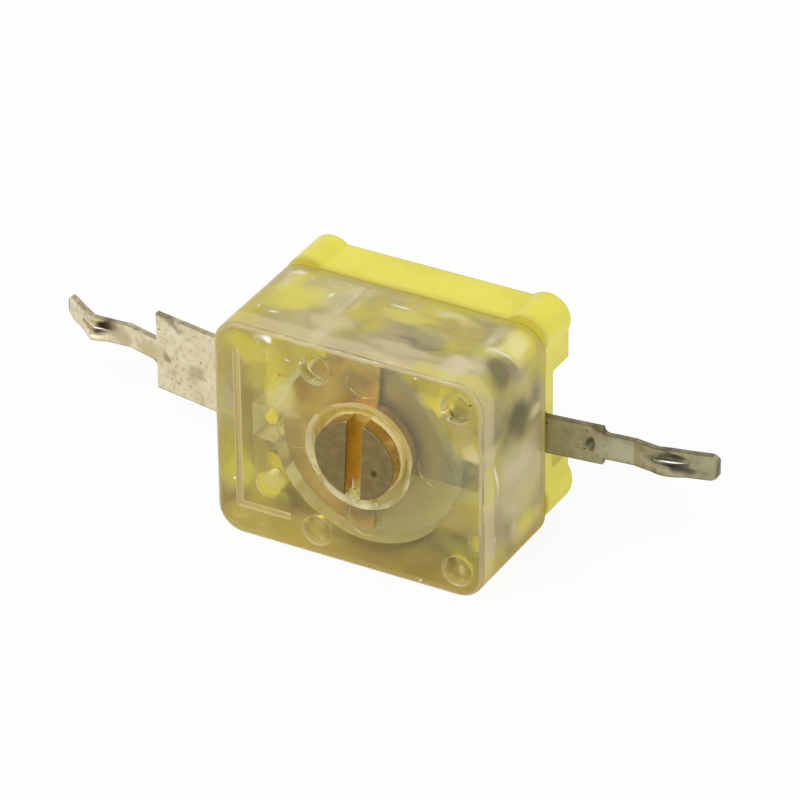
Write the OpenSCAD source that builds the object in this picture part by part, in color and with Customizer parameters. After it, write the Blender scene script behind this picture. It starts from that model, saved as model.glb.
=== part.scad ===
// Film trimmer: a small variable capacitor adjusted with a screwdriver.
// A clear cover holds a stack of half-round vanes between plastic films, and a yellow base closes it.
// The rotor axis is the Y axis. The slotted head faces -Y and the feet of the base face +Y.
// The origin is the centre of the head's end face.

/* [Rotor] */
// Radius of the half-round rotor vanes
rotor_vane_r = 3.25; // [3.1:0.05:3.5]
// Number of rotor vanes
rotor_vanes = 5; // [3:1:5]
// Thickness of every vane
vane_t = 0.15; // [0.1:0.01:0.2]
// Distance from one rotor vane to the next
vane_pitch = 0.5; // [0.46:0.01:0.54]
// How far a rotor vane's straight edge lies past the axis
rotor_edge = 0.25; // [0:0.05:0.5]
// Diameter of the slotted head
head_d = 2.92; // [2.6:0.02:3.1]
// How far the head stands out of the cover
head_proud = 0.3; // [0.2:0.05:0.6]
// Chamfer round the head's end
head_chamfer = 0.04; // [0.04:0.02:0.12]
// Width of the screwdriver slot
slot_w = 0.6; // [0.4:0.05:0.8]
// Depth of the screwdriver slot
slot_depth = 0.6; // [0.3:0.05:0.7]
// Turn of the rotor from upright, in degrees
rotor_turn = 3; // [0:1:10]
// Radius of the flange behind the cover's front wall
flange_r = 1.75; // [1.65:0.05:1.85]
// Thickness of that flange
flange_t = 0.3; // [0.25:0.05:0.35]
// Radius of the two-flat seat that carries the vanes
seat_r = 1; // [0.9:0.05:1.1]
// Distance of each flat from the axis
seat_flat = 0.72; // [0.66:0.02:0.78]
// Outer radius of the rotor's spacers and clamp collar
spacer_r = 1.5; // [1.4:0.05:1.55]
// Thickness of the clamp collar
collar_t = 0.4; // [0.3:0.05:0.5]
// Radius of the rear journal
journal_r = 0.6; // [0.5:0.05:0.65]
// Thickness of the dished spring washer
washer_t = 0.12; // [0.08:0.01:0.15]
// Radius of the retaining ring
ring_r = 1.1; // [1:0.05:1.3]
// Thickness of the retaining ring
ring_t = 0.3; // [0.2:0.05:0.35]
// How far the journal's riveted end stands out of the ring
rivet_end = 0.18; // [0.1:0.02:0.24]

/* [Stator] */
// Radius of the stator vanes
stator_vane_r = 3.2; // [2.9:0.05:3.3]
// Height of the stator vanes' lower edge below the axis
stator_drop = 0.8; // [0.6:0.05:0.9]
// Upper edge of the stator arm above the axis
arm_rise = 0.7; // [0.6:0.05:0.9]
// Distance of the two stator rivets from each other
stator_rivet_gap = 0.8; // [0.7:0.05:0.9]
// Radius of the stator rivets
stator_rivet_r = 0.18; // [0.14:0.02:0.2]
// Radius of the stator rivets' heads
stator_rivet_head_r = 0.26; // [0.22:0.02:0.28]
// Thickness of the stator rivets' heads
stator_rivet_head_t = 0.06; // [0.04:0.01:0.08]
// Width of the stator spacers along the arm
stator_spacer_w = 0.66; // [0.6:0.02:0.72]

/* [Films] */
// Thickness of each film
film_t = 0.05; // [0.03:0.01:0.06]
// How far the films reach past the rotor vanes
film_margin = 0.1; // [0.05:0.05:0.15]
// Half height of the tab that keeps a film from turning
film_tab_h = 0.6; // [0.5:0.05:0.7]
// Film left outside that pin
film_tab_edge = 0.22; // [0.15:0.01:0.3]
// Radius of the pin through the film tabs
film_pin_r = 0.25; // [0.2:0.02:0.3]

/* [Cover] */
// Thickness of the front wall
front_wall = 0.8; // [0.7:0.05:1]
// Wall between the vane chamber and the top
top_wall = 0.35; // [0.3:0.05:0.6]
// Wall between the vane chamber and the underside
bottom_wall = 0.85; // [0.7:0.05:1.2]
// Wall between the vane chamber and the left side
left_wall = 1.95; // [1.8:0.05:2.3]
// Wall between the vane chamber and the right side
right_wall = 1.15; // [1.1:0.05:1.5]
// Depth of the vane chamber
chamber_depth = 3.6; // [3.55:0.05:3.9]
// Radius of the upright corners
corner_r = 0.95; // [0.7:0.05:1.1]
// Radial size of the countersink round the head
countersink_w = 0.4; // [0.3:0.05:0.5]
// Depth of the countersink
countersink_depth = 0.25; // [0.15:0.05:0.35]
// Radius of the four blind holes in the front
blind_hole_r = 0.52; // [0.4:0.02:0.6]
// Depth of the blind holes
blind_hole_depth = 0.5; // [0.3:0.05:0.55]
// Distance of the blind holes from the cover's upper, lower and right faces
blind_hole_inset = 0.95; // [0.85:0.05:1.05]
// Distance of the left blind holes from the axis
blind_hole_left = 1.6; // [1.5:0.05:1.8]
// Width of the angled groove in the front
groove_w = 0.22; // [0.15:0.01:0.3]
// Depth of the groove
groove_depth = 0.12; // [0.08:0.01:0.2]
// Radius of the ejector marks inside the front wall
ejector_r = 0.62; // [0.5:0.02:0.7]

/* [Marks in the cover] */
// Distance of the angled groove from the cover's left side
groove_inset = 0.88; // [0.7:0.02:1.1]
// Height of the groove's foot above the underside
groove_foot_inset = 1.08; // [0.9:0.02:1.3]
// Distance of the groove's top from the cover's top
groove_top_inset = 1; // [0.8:0.05:1.3]
// Length of the groove's foot
groove_foot_l = 1.9; // [1.5:0.05:2.2]
// Radius of the round gate mark
gate_r = 0.26; // [0.2:0.02:0.3]
// Distance of the gate mark from the cover's left side
gate_inset = 2.05; // [1.8:0.05:2.3]
// Distance of the gate mark from the cover's top
gate_drop = 0.56; // [0.5:0.02:0.7]
// Radius of the circle that the ejector marks lie on
ejector_ring_r = 2.65; // [2.5:0.05:2.7]
// Depth of the ejector marks
ejector_depth = 0.06; // [0.04:0.01:0.1]

/* [Base] */
// Thickness of the base's floor
floor_t = 0.65; // [0.55:0.05:0.8]
// Height of the two feet above the floor
foot_h = 1.1; // [0.9:0.05:1.3]
// Half width of the channel between the feet
channel_half = 1.85; // [1.7:0.05:2]
// Half height of the base
base_half_h = 3.85; // [3.75:0.05:3.95]
// How far the base's left end stays inside the cover's side
base_inset_left = 0.35; // [0.3:0.01:0.4]
// How far the base's right end stays inside the cover's side
base_inset_right = 0.07; // [0:0.01:0.12]
// Radius of the base's plain corners
base_corner_r = 0.8; // [0.6:0.05:0.9]
// Radius of the two upper corner columns
upper_column_r = 0.82; // [0.76:0.02:0.88]
// Radius of the two lower corner columns
lower_column_r = 1.1; // [1:0.02:1.16]
// How far each upper column stands out of the base's end
upper_column_proud = 0.08; // [0.04:0.02:0.16]
// How far each lower column stands out of the base's end
lower_column_proud = 0.16; // [0.04:0.02:0.2]
// Height of the upper columns' centres above the axis
upper_column_z = 3.25; // [3.15:0.05:3.35]
// Depth of the lower columns' centres below the axis
lower_column_z = 2.9; // [2.8:0.05:3]
// Radius of the four posts in the cover
post_r = 0.46; // [0.4:0.02:0.5]
// Distance of each post's centre from the cover's outer faces
post_inset = 1; // [0.95:0.05:1.1]
// Length of the posts
post_l = 1.3; // [1.1:0.1:2.4]
// Room between a post's end and the end of its hole in the cover
post_end_room = 0.1; // [0.05:0.05:1.5]

/* [Tags] */
// Thickness of both tags
tag_t = 0.2; // [0.16:0.01:0.24]
// Length of each tag outside the cover before it leans back
tag_flat = 0.1; // [0.06:0.02:0.2]
// Radius in the inner corners beside the pins
shoulder_r = 0.2; // [0.1:0.02:0.22]
// Outer radius of the rotor terminal's ring round the journal
contact_r = 1.5; // [1.45:0.05:1.6]
// Width of the left tag's blade
left_blade_w = 2.95; // [2.7:0.05:3.1]
// Length of the left tag's blade outside the cover
left_blade_l = 5.4; // [4.9:0.1:6.1]
// Width of the left tag inside the base, where its upper edge runs on
tongue_w = 2.15; // [2:0.05:2.4]
// Height of the left tag's middle
left_tag_z = -1.84; // [-1.9:0.02:-1.7]
// Backward lean of the left tag's blade, in degrees
left_lean = 10; // [0:1:14]
// Width of the left solder pin
left_pin_w = 0.84; // [0.76:0.02:0.96]
// Length of the left pin before its kink
left_run_l = 1.3; // [1.1:0.05:1.5]
// Backward lean of the left pin before its kink, in degrees
left_run_lean = 15; // [8:1:18]
// Length of the left pin's kink
left_kink_l = 1.45; // [1.2:0.05:1.6]
// Forward lean of the left pin's kink, in degrees
left_kink_lean = 4; // [0:1:8]
// Length of the left pin's tip behind its kink
left_tip_l = 1.55; // [1.4:0.05:1.8]
// Backward lean of the left pin's tip, in degrees
left_tip_lean = 33; // [25:1:40]
// Width of the right tag's blade
right_blade_w = 1.4; // [1.2:0.05:1.6]
// Length of the right tag's blade outside the cover
right_blade_l = 1.9; // [1.5:0.1:2.5]
// Height of the right tag's middle
right_tag_z = -0.2; // [-0.3:0.02:-0.1]
// Backward lean of the right tag, in degrees
right_lean = 6; // [0:1:10]
// Width of the right solder pin
right_pin_w = 0.94; // [0.8:0.02:1.04]
// Length of the right pin before its kink
right_run_l = 1.1; // [0.9:0.05:1.3]
// Length of the right pin's kink
right_kink_l = 0.9; // [0.7:0.05:1.1]
// Forward lean of the right pin's kink, in degrees
right_kink_lean = 7; // [0:1:10]
// Length of the right pin's tip behind its kink
right_tip_l = 2; // [1.8:0.05:2.2]
// Backward lean of the right pin's tip, in degrees
right_tip_lean = 14; // [6:1:18]
// Radius of the corners of the pins' tips
pin_tip_r = 0.32; // [0.2:0.02:0.36]
// Length of the slit that lets a pin snap into a board
slit_l = 1.3; // [1.1:0.1:1.7]
// Distance of the slit from the pin's tip
slit_from_tip = 0.95; // [0.75:0.05:1.05]
// Width of the slit
slit_w = 0.12; // [0.1:0.02:0.24]
// How far the slit's lower side bulges forwards
slit_bulge = 0.1; // [0.04:0.02:0.2]

/* [Hidden] */
$fn = 96;
rotor_gap = 0.05;     // end play of the rotor behind the front wall
bore_gap = 0.07;      // radial clearance round the head
journal_gap = 0.04;   // radial clearance round the rear journal
seat_gap = 0.01;      // clearance of pieces on the two-flat seat
running_gap = 0.1;    // clearance of turning pieces from fixed ones
nest_gap = 0.05;      // clearance of fixed pieces in their pockets
post_gap = 0.02;      // clearance of pins and posts in their holes
face_gap = 0.02;      // clearance between faces that rub
cut = 1;              // how far a cutter reaches past a face
left = -1;
right = 1;

// Radii of the chamber's pieces
film_r = rotor_vane_r + film_margin;
chamber_r = film_r + running_gap;
head_r = head_d / 2;
bore_r = head_r + bore_gap;

// Levels along the rotor axis
front_y = head_proud;
chamber_y = front_y + front_wall;
flange_y = chamber_y + rotor_gap;
stack_y = flange_y + flange_t;
rotor_end_y = stack_y + (rotor_vanes - 1) * vane_pitch + vane_t;
collar_end_y = rotor_end_y + collar_t;
seat_end_y = collar_end_y;
joint_y = chamber_y + chamber_depth;
tag_back_y = joint_y + tag_t;
floor_back_y = joint_y + floor_t;
feet_y = floor_back_y + foot_h;
ring_y = floor_back_y + face_gap;
shaft_end_y = ring_y + ring_t + rivet_end;
spacer_t = vane_pitch - vane_t;

// Outer faces of the cover
cover_left = -(chamber_r + left_wall);
cover_right = chamber_r + right_wall;
cover_bottom = -(chamber_r + bottom_wall);
cover_top = chamber_r + top_wall;

base_left = cover_left + base_inset_left;
base_right = cover_right - base_inset_right;

// Places of the posts, columns and fixing pins
post_xs = [cover_left + post_inset, cover_right - post_inset];
post_zs = [cover_bottom + post_inset, cover_top - post_inset];
blind_hole_xs = [-blind_hole_left, cover_right - blind_hole_inset];
blind_hole_zs = [cover_bottom + blind_hole_inset, cover_top - blind_hole_inset];
film_pin_x = -(film_r + running_gap + film_pin_r);
post_hole_depth = post_l + post_end_room;
film_tab_x = film_pin_x - film_pin_r - film_tab_edge;
stator_spacer_x = film_r + running_gap;
stator_rivet_x = stator_spacer_x + stator_spacer_w / 2;
arm_end = stator_spacer_x + stator_spacer_w + nest_gap;
arm_mid = (arm_rise - stator_drop) / 2;

// Middle of the left tag inside the base
tongue_z = left_tag_z + (left_blade_w - tongue_w) / 2;

// Places of the marks moulded in the front
groove_x = cover_left + groove_inset;
groove_foot_z = cover_bottom + groove_foot_inset;
groove_top_z = cover_top - groove_top_inset;
gate_x = cover_left + gate_inset;
gate_z = cover_top - gate_drop;

// Inner end of the stator terminal, and points along a slit
right_foot_x = stator_spacer_x - running_gap;
slit_steps = 24;

// ---------- helpers ----------

// A flat shape drawn in X and Z, given a thickness along Y from the level y
module plate(y, t)
    translate([0, y + t, 0]) rotate([90, 0, 0]) linear_extrude(height = t) children();

// A round bar along Y
module bar(r, y, l) translate([0, y + l, 0]) rotate([90, 0, 0]) cylinder(r = r, h = l);

// A cone along Y, with its radius at the front and at the back
module cone(front_r, back_r, y, l)
    translate([0, y + l, 0]) rotate([90, 0, 0]) cylinder(r1 = back_r, r2 = front_r, h = l);

// A rectangle given by its edges
module rect(x0, x1, z0, z1) translate([x0, z0]) square([x1 - x0, z1 - z0]);

// A rectangle with round corners given by its edges
module round_rect(x0, x1, z0, z1, r) {
    rect(x0 + r, x1 - r, z0, z1);
    rect(x0, x1, z0 + r, z1 - r);
    for (x = [x0 + r, x1 - r], z = [z0 + r, z1 - r]) translate([x, z]) circle(r = r);
}

module turned() rotate([0, rotor_turn, 0]) children();

// The seat's section: a circle with two flats
module seat_section(grow = 0)
    intersection() {
        circle(r = seat_r + grow);
        square([2 * (seat_flat + grow), 4 * seat_r], center = true);
    }

module at_posts() for (x = post_xs, z = post_zs) translate([x, 0, z]) children();

// A pair of corner columns of one radius at one height
module columns(r, proud, z)
    for (x = [base_left - proud + r, base_right + proud - r])
        translate([x, 0, z]) bar(r, joint_y, floor_t + foot_h);

module at_stator_rivets()
    for (side = [left, right])
        translate([stator_rivet_x, 0, arm_mid + side * stator_rivet_gap / 2]) children();

// ---------- housing ----------

// Outline of the vane chamber with its pockets for the stator arm and the film tabs
module chamber_section() {
    circle(r = chamber_r);
    rect(0, arm_end + nest_gap, -stator_drop - nest_gap, arm_rise + nest_gap);
    rect(film_tab_x - nest_gap, 0, -film_tab_h - nest_gap, film_tab_h + nest_gap);
}

module cover() color([0.93, 0.92, 0.82, 0.4]) difference() {
    plate(front_y, front_wall + chamber_depth)
        round_rect(cover_left, cover_right, cover_bottom, cover_top, corner_r);
    plate(chamber_y, chamber_depth + cut) chamber_section();
    bar(bore_r, front_y - cut, front_wall + 2 * cut);
    cone(bore_r + countersink_w, bore_r, front_y, countersink_depth);
    for (x = blind_hole_xs, z = blind_hole_zs)
        translate([x, 0, z]) bar(blind_hole_r, front_y - cut, blind_hole_depth + cut);
    at_posts() bar(post_r + post_gap, joint_y - post_hole_depth, post_hole_depth + cut);
    plate(front_y - cut, groove_depth + cut) {
        rect(groove_x - groove_w / 2, groove_x + groove_w / 2, groove_foot_z, groove_top_z);
        rect(groove_x - groove_w / 2, groove_x + groove_foot_l,
             groove_foot_z, groove_foot_z + groove_w);
    }
    translate([gate_x, front_y - gate_r / 2, gate_z]) sphere(r = gate_r);
    for (a = [0:90:270])
        translate([ejector_ring_r * cos(a), 0, ejector_ring_r * sin(a)])
            bar(ejector_r, chamber_y - ejector_depth, ejector_depth + cut);
}

// Recesses in the base's floor for the two flat terminals
module terminal_recess() {
    rotor_terminal_section(nest_gap);
    stator_terminal_section(nest_gap);
    rect(cover_left - cut, cover_left + cut, tongue_z - tongue_w / 2 - nest_gap,
         tongue_z + tongue_w / 2 + nest_gap);
    rect(cover_right - cut, cover_right + cut, right_tag_z - right_blade_w / 2 - nest_gap,
         right_tag_z + right_blade_w / 2 + nest_gap);
}

module base() color([0.91, 0.88, 0.2]) {
    difference() {
        union() {
            plate(joint_y, floor_t + foot_h)
                round_rect(base_left, base_right, -base_half_h, base_half_h, base_corner_r);
            columns(upper_column_r, upper_column_proud, upper_column_z);
            columns(lower_column_r, lower_column_proud, -lower_column_z);
        }
        plate(floor_back_y, foot_h + cut)
            rect(cover_left - cut, cover_right + cut, -channel_half, channel_half);
        plate(joint_y - cut, tag_t + cut) terminal_recess();
        bar(journal_r + journal_gap, joint_y - cut, floor_t + 2 * cut);
        at_stator_rivets() bar(stator_rivet_r + nest_gap, joint_y - cut, floor_t + 2 * cut);
    }
    at_posts() bar(post_r, joint_y - post_l, post_l);
    translate([film_pin_x, 0, 0])
        bar(film_pin_r, stack_y + face_gap, tag_back_y - stack_y - face_gap);
}

// ---------- rotor ----------

module rotor_shaft() color([0.78, 0.62, 0.3]) turned() difference() {
    union() {
        cone(head_r - head_chamfer, head_r, 0, head_chamfer);
        bar(head_r, head_chamfer, flange_y - head_chamfer);
        bar(flange_r, flange_y, flange_t);
        plate(stack_y, seat_end_y - stack_y) seat_section();
        bar(journal_r, seat_end_y, shaft_end_y - seat_end_y);
        cone(journal_r + rivet_end, journal_r, ring_y + ring_t, rivet_end);
    }
    translate([-slot_w / 2, -cut, -head_d]) cube([slot_w, slot_depth + cut, 2 * head_d]);
}

// Outline of a rotor vane: half a disc with a round hub
module rotor_vane_section() difference() {
    union() {
        intersection() {
            circle(r = rotor_vane_r);
            rect(-2 * rotor_vane_r, rotor_edge, -2 * rotor_vane_r, 2 * rotor_vane_r);
        }
        circle(r = spacer_r);
    }
    seat_section(seat_gap);
}

module rotor_vane(i) color([0.8, 0.58, 0.32]) turned()
    plate(stack_y + (i - 1) * vane_pitch, vane_t) rotor_vane_section();

module rotor_spacer(i) color([0.78, 0.6, 0.32]) turned()
    plate(stack_y + (i - 1) * vane_pitch + vane_t, spacer_t) difference() {
        circle(r = spacer_r);
        seat_section(seat_gap);
    }

module clamp_collar() color([0.76, 0.6, 0.3]) turned()
    plate(rotor_end_y, collar_t) difference() {
        circle(r = spacer_r);
        seat_section(seat_gap);
    }

module retaining_ring() color([0.7, 0.7, 0.68]) turned()
    plate(ring_y, ring_t) difference() {
        circle(r = ring_r);
        circle(r = journal_r);
    }

// Dished washer that presses the collar forwards and carries current to the rotor terminal
module spring_washer() color([0.75, 0.5, 0.25])
    rotate([-90, 0, 0]) rotate_extrude() {
        back = joint_y - face_gap;
        front = collar_end_y + face_gap;
        inner = journal_r + running_gap + nest_gap;
        outer = spacer_r - nest_gap;
        polygon([[inner, back - washer_t], [inner, back], [inner + washer_t, back],
                 [outer, front + washer_t], [outer, front], [outer - washer_t, front]]);
    }

// ---------- stator ----------

module stator_vane_section() difference() {
    union() {
        intersection() {
            circle(r = stator_vane_r);
            rect(-2 * stator_vane_r, 2 * stator_vane_r, -stator_drop, 2 * stator_vane_r);
        }
        rect(0, arm_end, -stator_drop, arm_rise);
    }
    circle(r = spacer_r + 2 * running_gap);
    for (side = [left, right])
        translate([stator_rivet_x, arm_mid + side * stator_rivet_gap / 2])
            circle(r = stator_rivet_r + post_gap);
}

module stator_vane(i) color([0.76, 0.62, 0.4])
    plate(stack_y + (i - 0.5) * vane_pitch, vane_t) stator_vane_section();

module stator_spacer_section() difference() {
    rect(stator_spacer_x, stator_spacer_x + stator_spacer_w, -stator_drop, arm_rise);
    for (side = [left, right])
        translate([stator_rivet_x, arm_mid + side * stator_rivet_gap / 2])
            circle(r = stator_rivet_r + post_gap);
}

module stator_spacer(i) color([0.72, 0.7, 0.64])
    plate(stack_y + (i - 0.5) * vane_pitch + vane_t, spacer_t) stator_spacer_section();

// Longer spacer from the last stator vane down to the stator terminal
module stator_foot_spacer() color([0.72, 0.7, 0.64]) {
    y = stack_y + (rotor_vanes - 1.5) * vane_pitch + vane_t;
    plate(y, joint_y - y) stator_spacer_section();
}

module stator_rivets() color([0.7, 0.68, 0.62]) at_stator_rivets() {
    y = stack_y + 0.5 * vane_pitch;
    bar(stator_rivet_r, y, tag_back_y - y);
    bar(stator_rivet_head_r, y - stator_rivet_head_t, stator_rivet_head_t);
}

// ---------- films ----------

module film(i) color([0.7, 0.72, 0.62, 0.5])
    plate(stack_y + vane_t + (i - 1) * vane_pitch / 2 + (vane_pitch / 2 - vane_t - film_t) / 2, film_t)
        difference() {
            union() {
                circle(r = film_r);
                rect(film_tab_x, 0, -film_tab_h, film_tab_h);
            }
            circle(r = spacer_r + running_gap);
            translate([film_pin_x, 0]) circle(r = film_pin_r + post_gap);
        }

// ---------- terminals ----------

function unit(v) = v / norm(v);
function direction(path, i) = unit(path[i + 1] - path[i]);

// Normal at a point of a path, stretched so that a strip keeps its thickness round a bend
function mitre(path, i) =
    let (last = len(path) - 1,
         before = direction(path, max(i - 1, 0)),
         after = direction(path, min(i, last - 1)),
         mean = unit(before + after))
    [-mean[1], mean[0]] / (mean * after);

// Outline of a strip of thickness t that follows a path
function strip(path, t) = concat(
    [for (i = [0:len(path) - 1]) path[i] + mitre(path, i) * t / 2],
    [for (i = [len(path) - 1:-1:0]) path[i] - mitre(path, i) * t / 2]);

// How far back a line has leaned at the distance s, over stretches given as [length, lean]
function leaned(stretches, s, i = 0) =
    i == len(stretches) ? 0
    : min(s, stretches[i][0]) * tan(stretches[i][1])
      + (s > stretches[i][0] ? leaned(stretches, s - stretches[i][0], i + 1) : 0);

// Length of the first n stretches
function reach(stretches, n) = n == 0 ? 0 : stretches[n - 1][0] + reach(stretches, n - 1);
function total(stretches) = reach(stretches, len(stretches));

// Bulge of a slit's side: a smooth hump between two distances
function hump(s, from, to, h) =
    s <= from || s >= to ? 0 : h * (1 - cos(360 * (s - from) / (to - from))) / 2;

// Distances at which a tag's middle line has a point: its bends, and many along the slit
function tag_stops(stretches, from, to) = concat(
    [for (n = [0:len(stretches) - 1]) let (bend = reach(stretches, n)) if (bend < from) bend],
    [for (i = [0:slit_steps]) from + (to - from) * i / slit_steps],
    [total(stretches)]);

// Middle line of a tag from the cover to its tip, in X and Y
function tag_line(side, start, stretches, bulge) =
    let (to = total(stretches) - slit_from_tip, from = to - slit_l)
    [for (s = tag_stops(stretches, from, to))
        [start + side * s, joint_y + tag_t / 2 + leaned(stretches, s) - hump(s, from, to, bulge)]];

// One side of a tag: a strip between two heights
module tag_strip(line, z0, z1)
    translate([0, 0, z0]) linear_extrude(height = z1 - z0) polygon(strip(line, tag_t));

// Filling of an inner corner, with its corner at the origin
module fillet(r) difference() {
    square(r);
    translate([r, r]) circle(r = r);
}

// Outline of a tag outside the cover, drawn towards +X from the cover's side
module tag_section(blade_l, blade_w, pin_w, tip) difference() {
    union() {
        rect(0, blade_l, -blade_w / 2, blade_w / 2);
        rect(0, tip - pin_tip_r, -pin_w / 2, pin_w / 2);
        rect(0, tip, pin_tip_r - pin_w / 2, pin_w / 2 - pin_tip_r);
        for (side = [-1, 1])
            translate([tip - pin_tip_r, side * (pin_w / 2 - pin_tip_r)]) circle(r = pin_tip_r);
        for (flip = [0, 1])
            mirror([0, flip]) translate([blade_l, pin_w / 2])
                fillet(min(shoulder_r, (blade_w - pin_w) / 2));
    }
    rect(tip - slit_from_tip - slit_l, tip - slit_from_tip, -slit_w / 2, slit_w / 2);
}

// A tag outside the cover: flat at first, then a leaning blade, then the pin's stretches
module tag(side, start, z, blade_w, pin_w, leaning) {
    stretches = concat([[tag_flat, 0]], leaning);
    l = total(stretches);
    depth = l + tag_t;
    intersection() {
        union() {
            tag_strip(tag_line(side, start, stretches, -slit_bulge / 4), z, z + blade_w / 2);
            tag_strip(tag_line(side, start, stretches, slit_bulge), z - blade_w / 2, z);
        }
        plate(joint_y - depth, 2 * depth) translate([start, z]) mirror([side < 0 ? 1 : 0, 0])
            tag_section(reach(stretches, 2), blade_w, pin_w, l);
    }
}

// Flat part of the rotor terminal inside the base: a tongue and a ring round the journal
module rotor_terminal_section(grow = 0) {
    rect(cover_left - tag_flat / 2, 0,
         tongue_z - tongue_w / 2 - grow, tongue_z + tongue_w / 2 + grow);
    circle(r = contact_r + grow);
    rect(film_pin_x - film_tab_h - grow, 0, tongue_z - grow, film_tab_h + grow);
}

module rotor_terminal() color([0.74, 0.72, 0.65]) {
    plate(joint_y, tag_t) difference() {
        rotor_terminal_section();
        circle(r = journal_r + running_gap);
        translate([film_pin_x, 0]) circle(r = film_pin_r + post_gap);
    }
    tag(left, cover_left, left_tag_z, left_blade_w, left_pin_w,
        [[left_blade_l, left_lean], [left_run_l, left_run_lean],
         [left_kink_l, -left_kink_lean], [left_tip_l, left_tip_lean]]);
}

// Flat part of the stator terminal inside the base
module stator_terminal_section(grow = 0) {
    rect(right_foot_x - grow, arm_end + grow, -stator_drop - grow, arm_rise + grow);
    rect(right_foot_x - grow, cover_right + tag_flat / 2,
         right_tag_z - right_blade_w / 2 - grow, right_tag_z + right_blade_w / 2 + grow);
}

module stator_terminal() color([0.74, 0.72, 0.65]) {
    plate(joint_y, tag_t) difference() {
        stator_terminal_section();
        for (side = [left, right])
            translate([stator_rivet_x, arm_mid + side * stator_rivet_gap / 2])
                circle(r = stator_rivet_r + post_gap);
    }
    tag(right, cover_right, right_tag_z, right_blade_w, right_pin_w,
        [[right_blade_l, right_lean], [right_run_l, right_lean],
         [right_kink_l, -right_kink_lean], [right_tip_l, right_tip_lean]]);
}

// ---------- output ----------

cover();
base();
rotor_shaft();
clamp_collar();
retaining_ring();
spring_washer();
rotor_terminal();
stator_terminal();
stator_rivets();
stator_foot_spacer();
for (i = [1:rotor_vanes])
    rotor_vane(i);
for (i = [1:rotor_vanes - 1])
    rotor_spacer(i);
for (i = [1:rotor_vanes - 1])
    stator_vane(i);
for (i = [1:rotor_vanes - 2])
    stator_spacer(i);
for (i = [1:2 * (rotor_vanes - 1)])
    film(i);
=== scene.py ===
"""A film trimmer dressed for display: clear cover, yellow base, rotor, vanes, films and solder tags.

Every piece is modelled in millimetres in the part's own frame and then scaled to metres. The rotor
axis is the Y axis, the slotted head faces -Y, the feet of the base face +Y, and the part stands on the
long side of its cover.
"""

import logging
import math
from collections.abc import Iterable, Sequence
from dataclasses import dataclass, field
from enum import Enum
from functools import reduce

import bmesh
import bpy
from mathutils import Matrix, Vector


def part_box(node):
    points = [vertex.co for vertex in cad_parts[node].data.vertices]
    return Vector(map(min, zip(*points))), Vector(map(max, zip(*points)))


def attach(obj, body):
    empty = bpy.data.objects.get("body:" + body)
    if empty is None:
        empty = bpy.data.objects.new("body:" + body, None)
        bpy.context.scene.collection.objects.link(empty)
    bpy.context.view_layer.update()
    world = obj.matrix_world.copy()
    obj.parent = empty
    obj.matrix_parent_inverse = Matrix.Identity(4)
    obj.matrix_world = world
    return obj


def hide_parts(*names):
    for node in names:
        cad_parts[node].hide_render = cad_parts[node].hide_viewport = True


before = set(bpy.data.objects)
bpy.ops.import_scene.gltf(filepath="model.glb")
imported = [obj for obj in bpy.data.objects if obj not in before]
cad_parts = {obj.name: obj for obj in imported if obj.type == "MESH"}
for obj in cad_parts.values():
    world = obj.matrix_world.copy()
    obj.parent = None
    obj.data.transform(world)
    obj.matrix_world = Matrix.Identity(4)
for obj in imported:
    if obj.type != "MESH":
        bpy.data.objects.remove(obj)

MM = 0.001
SHARP = math.radians(32)
MERGE = 1e-5
CORNER_R = 0.95
CHAMBER_R = 3.45
BORE_R = 1.53
CLEAR_BOUNCES = 40
BOUNCES = 24
log = logging.getLogger("trimmer")

Colour = str
Point = tuple[float, float, float]
Place = tuple[float, float]
Span = tuple[float, float]
Noise = tuple[float, float, float]
Piece = bpy.types.Object
Shape = bmesh.types.BMesh


# ---------- colours and shader sums ----------


def linear(colour: Colour) -> tuple[float, ...]:
    """The linear values of a colour.

    Args:
        colour: Red, green and blue as a display code of six hexadecimal digits.

    Returns:
        Red, green, blue and full opacity.
    """
    shares = [int(colour[i : i + 2], 16) / 255 for i in (0, 2, 4)]
    return (*[s / 12.92 if s <= 0.04045 else ((s + 0.055) / 1.055) ** 2.4 for s in shares], 1.0)


class Ray(Enum):
    """The kinds of rays that a surface can answer differently, as the Light Path node names them."""

    CAMERA = "Is Camera Ray"
    GLOSSY = "Is Glossy Ray"
    TRANSMISSION = "Is Transmission Ray"
    SHADOW = "Is Shadow Ray"
    DIFFUSE = "Is Diffuse Ray"


@dataclass(frozen=True)
class Cloud:
    """Soft noise in patches per millimetre, cut so that it rises from 0 to 1 between two levels."""

    scale: float
    detail: float
    shift: float
    start: float
    end: float


@dataclass(frozen=True)
class Specks:
    """Small round spots: how many per millimetre, and their radius as a share of their distance."""

    scale: float
    size: float
    shift: float = 0.0


@dataclass(frozen=True)
class StainAndLight:
    """A soft patch of another colour at one place of a piece, in millimetres: a stain, a painted highlight
    or painted shade.
    """

    centre: Point
    radii: Point
    colour: Colour
    share: float = 0.8


@dataclass(frozen=True)
class Outline:
    """The cover's outer edges across the part's axis."""

    left: float = -5.4
    right: float = 4.6
    low: float = -4.3
    high: float = 3.8
    corner: float = CORNER_R


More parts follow.
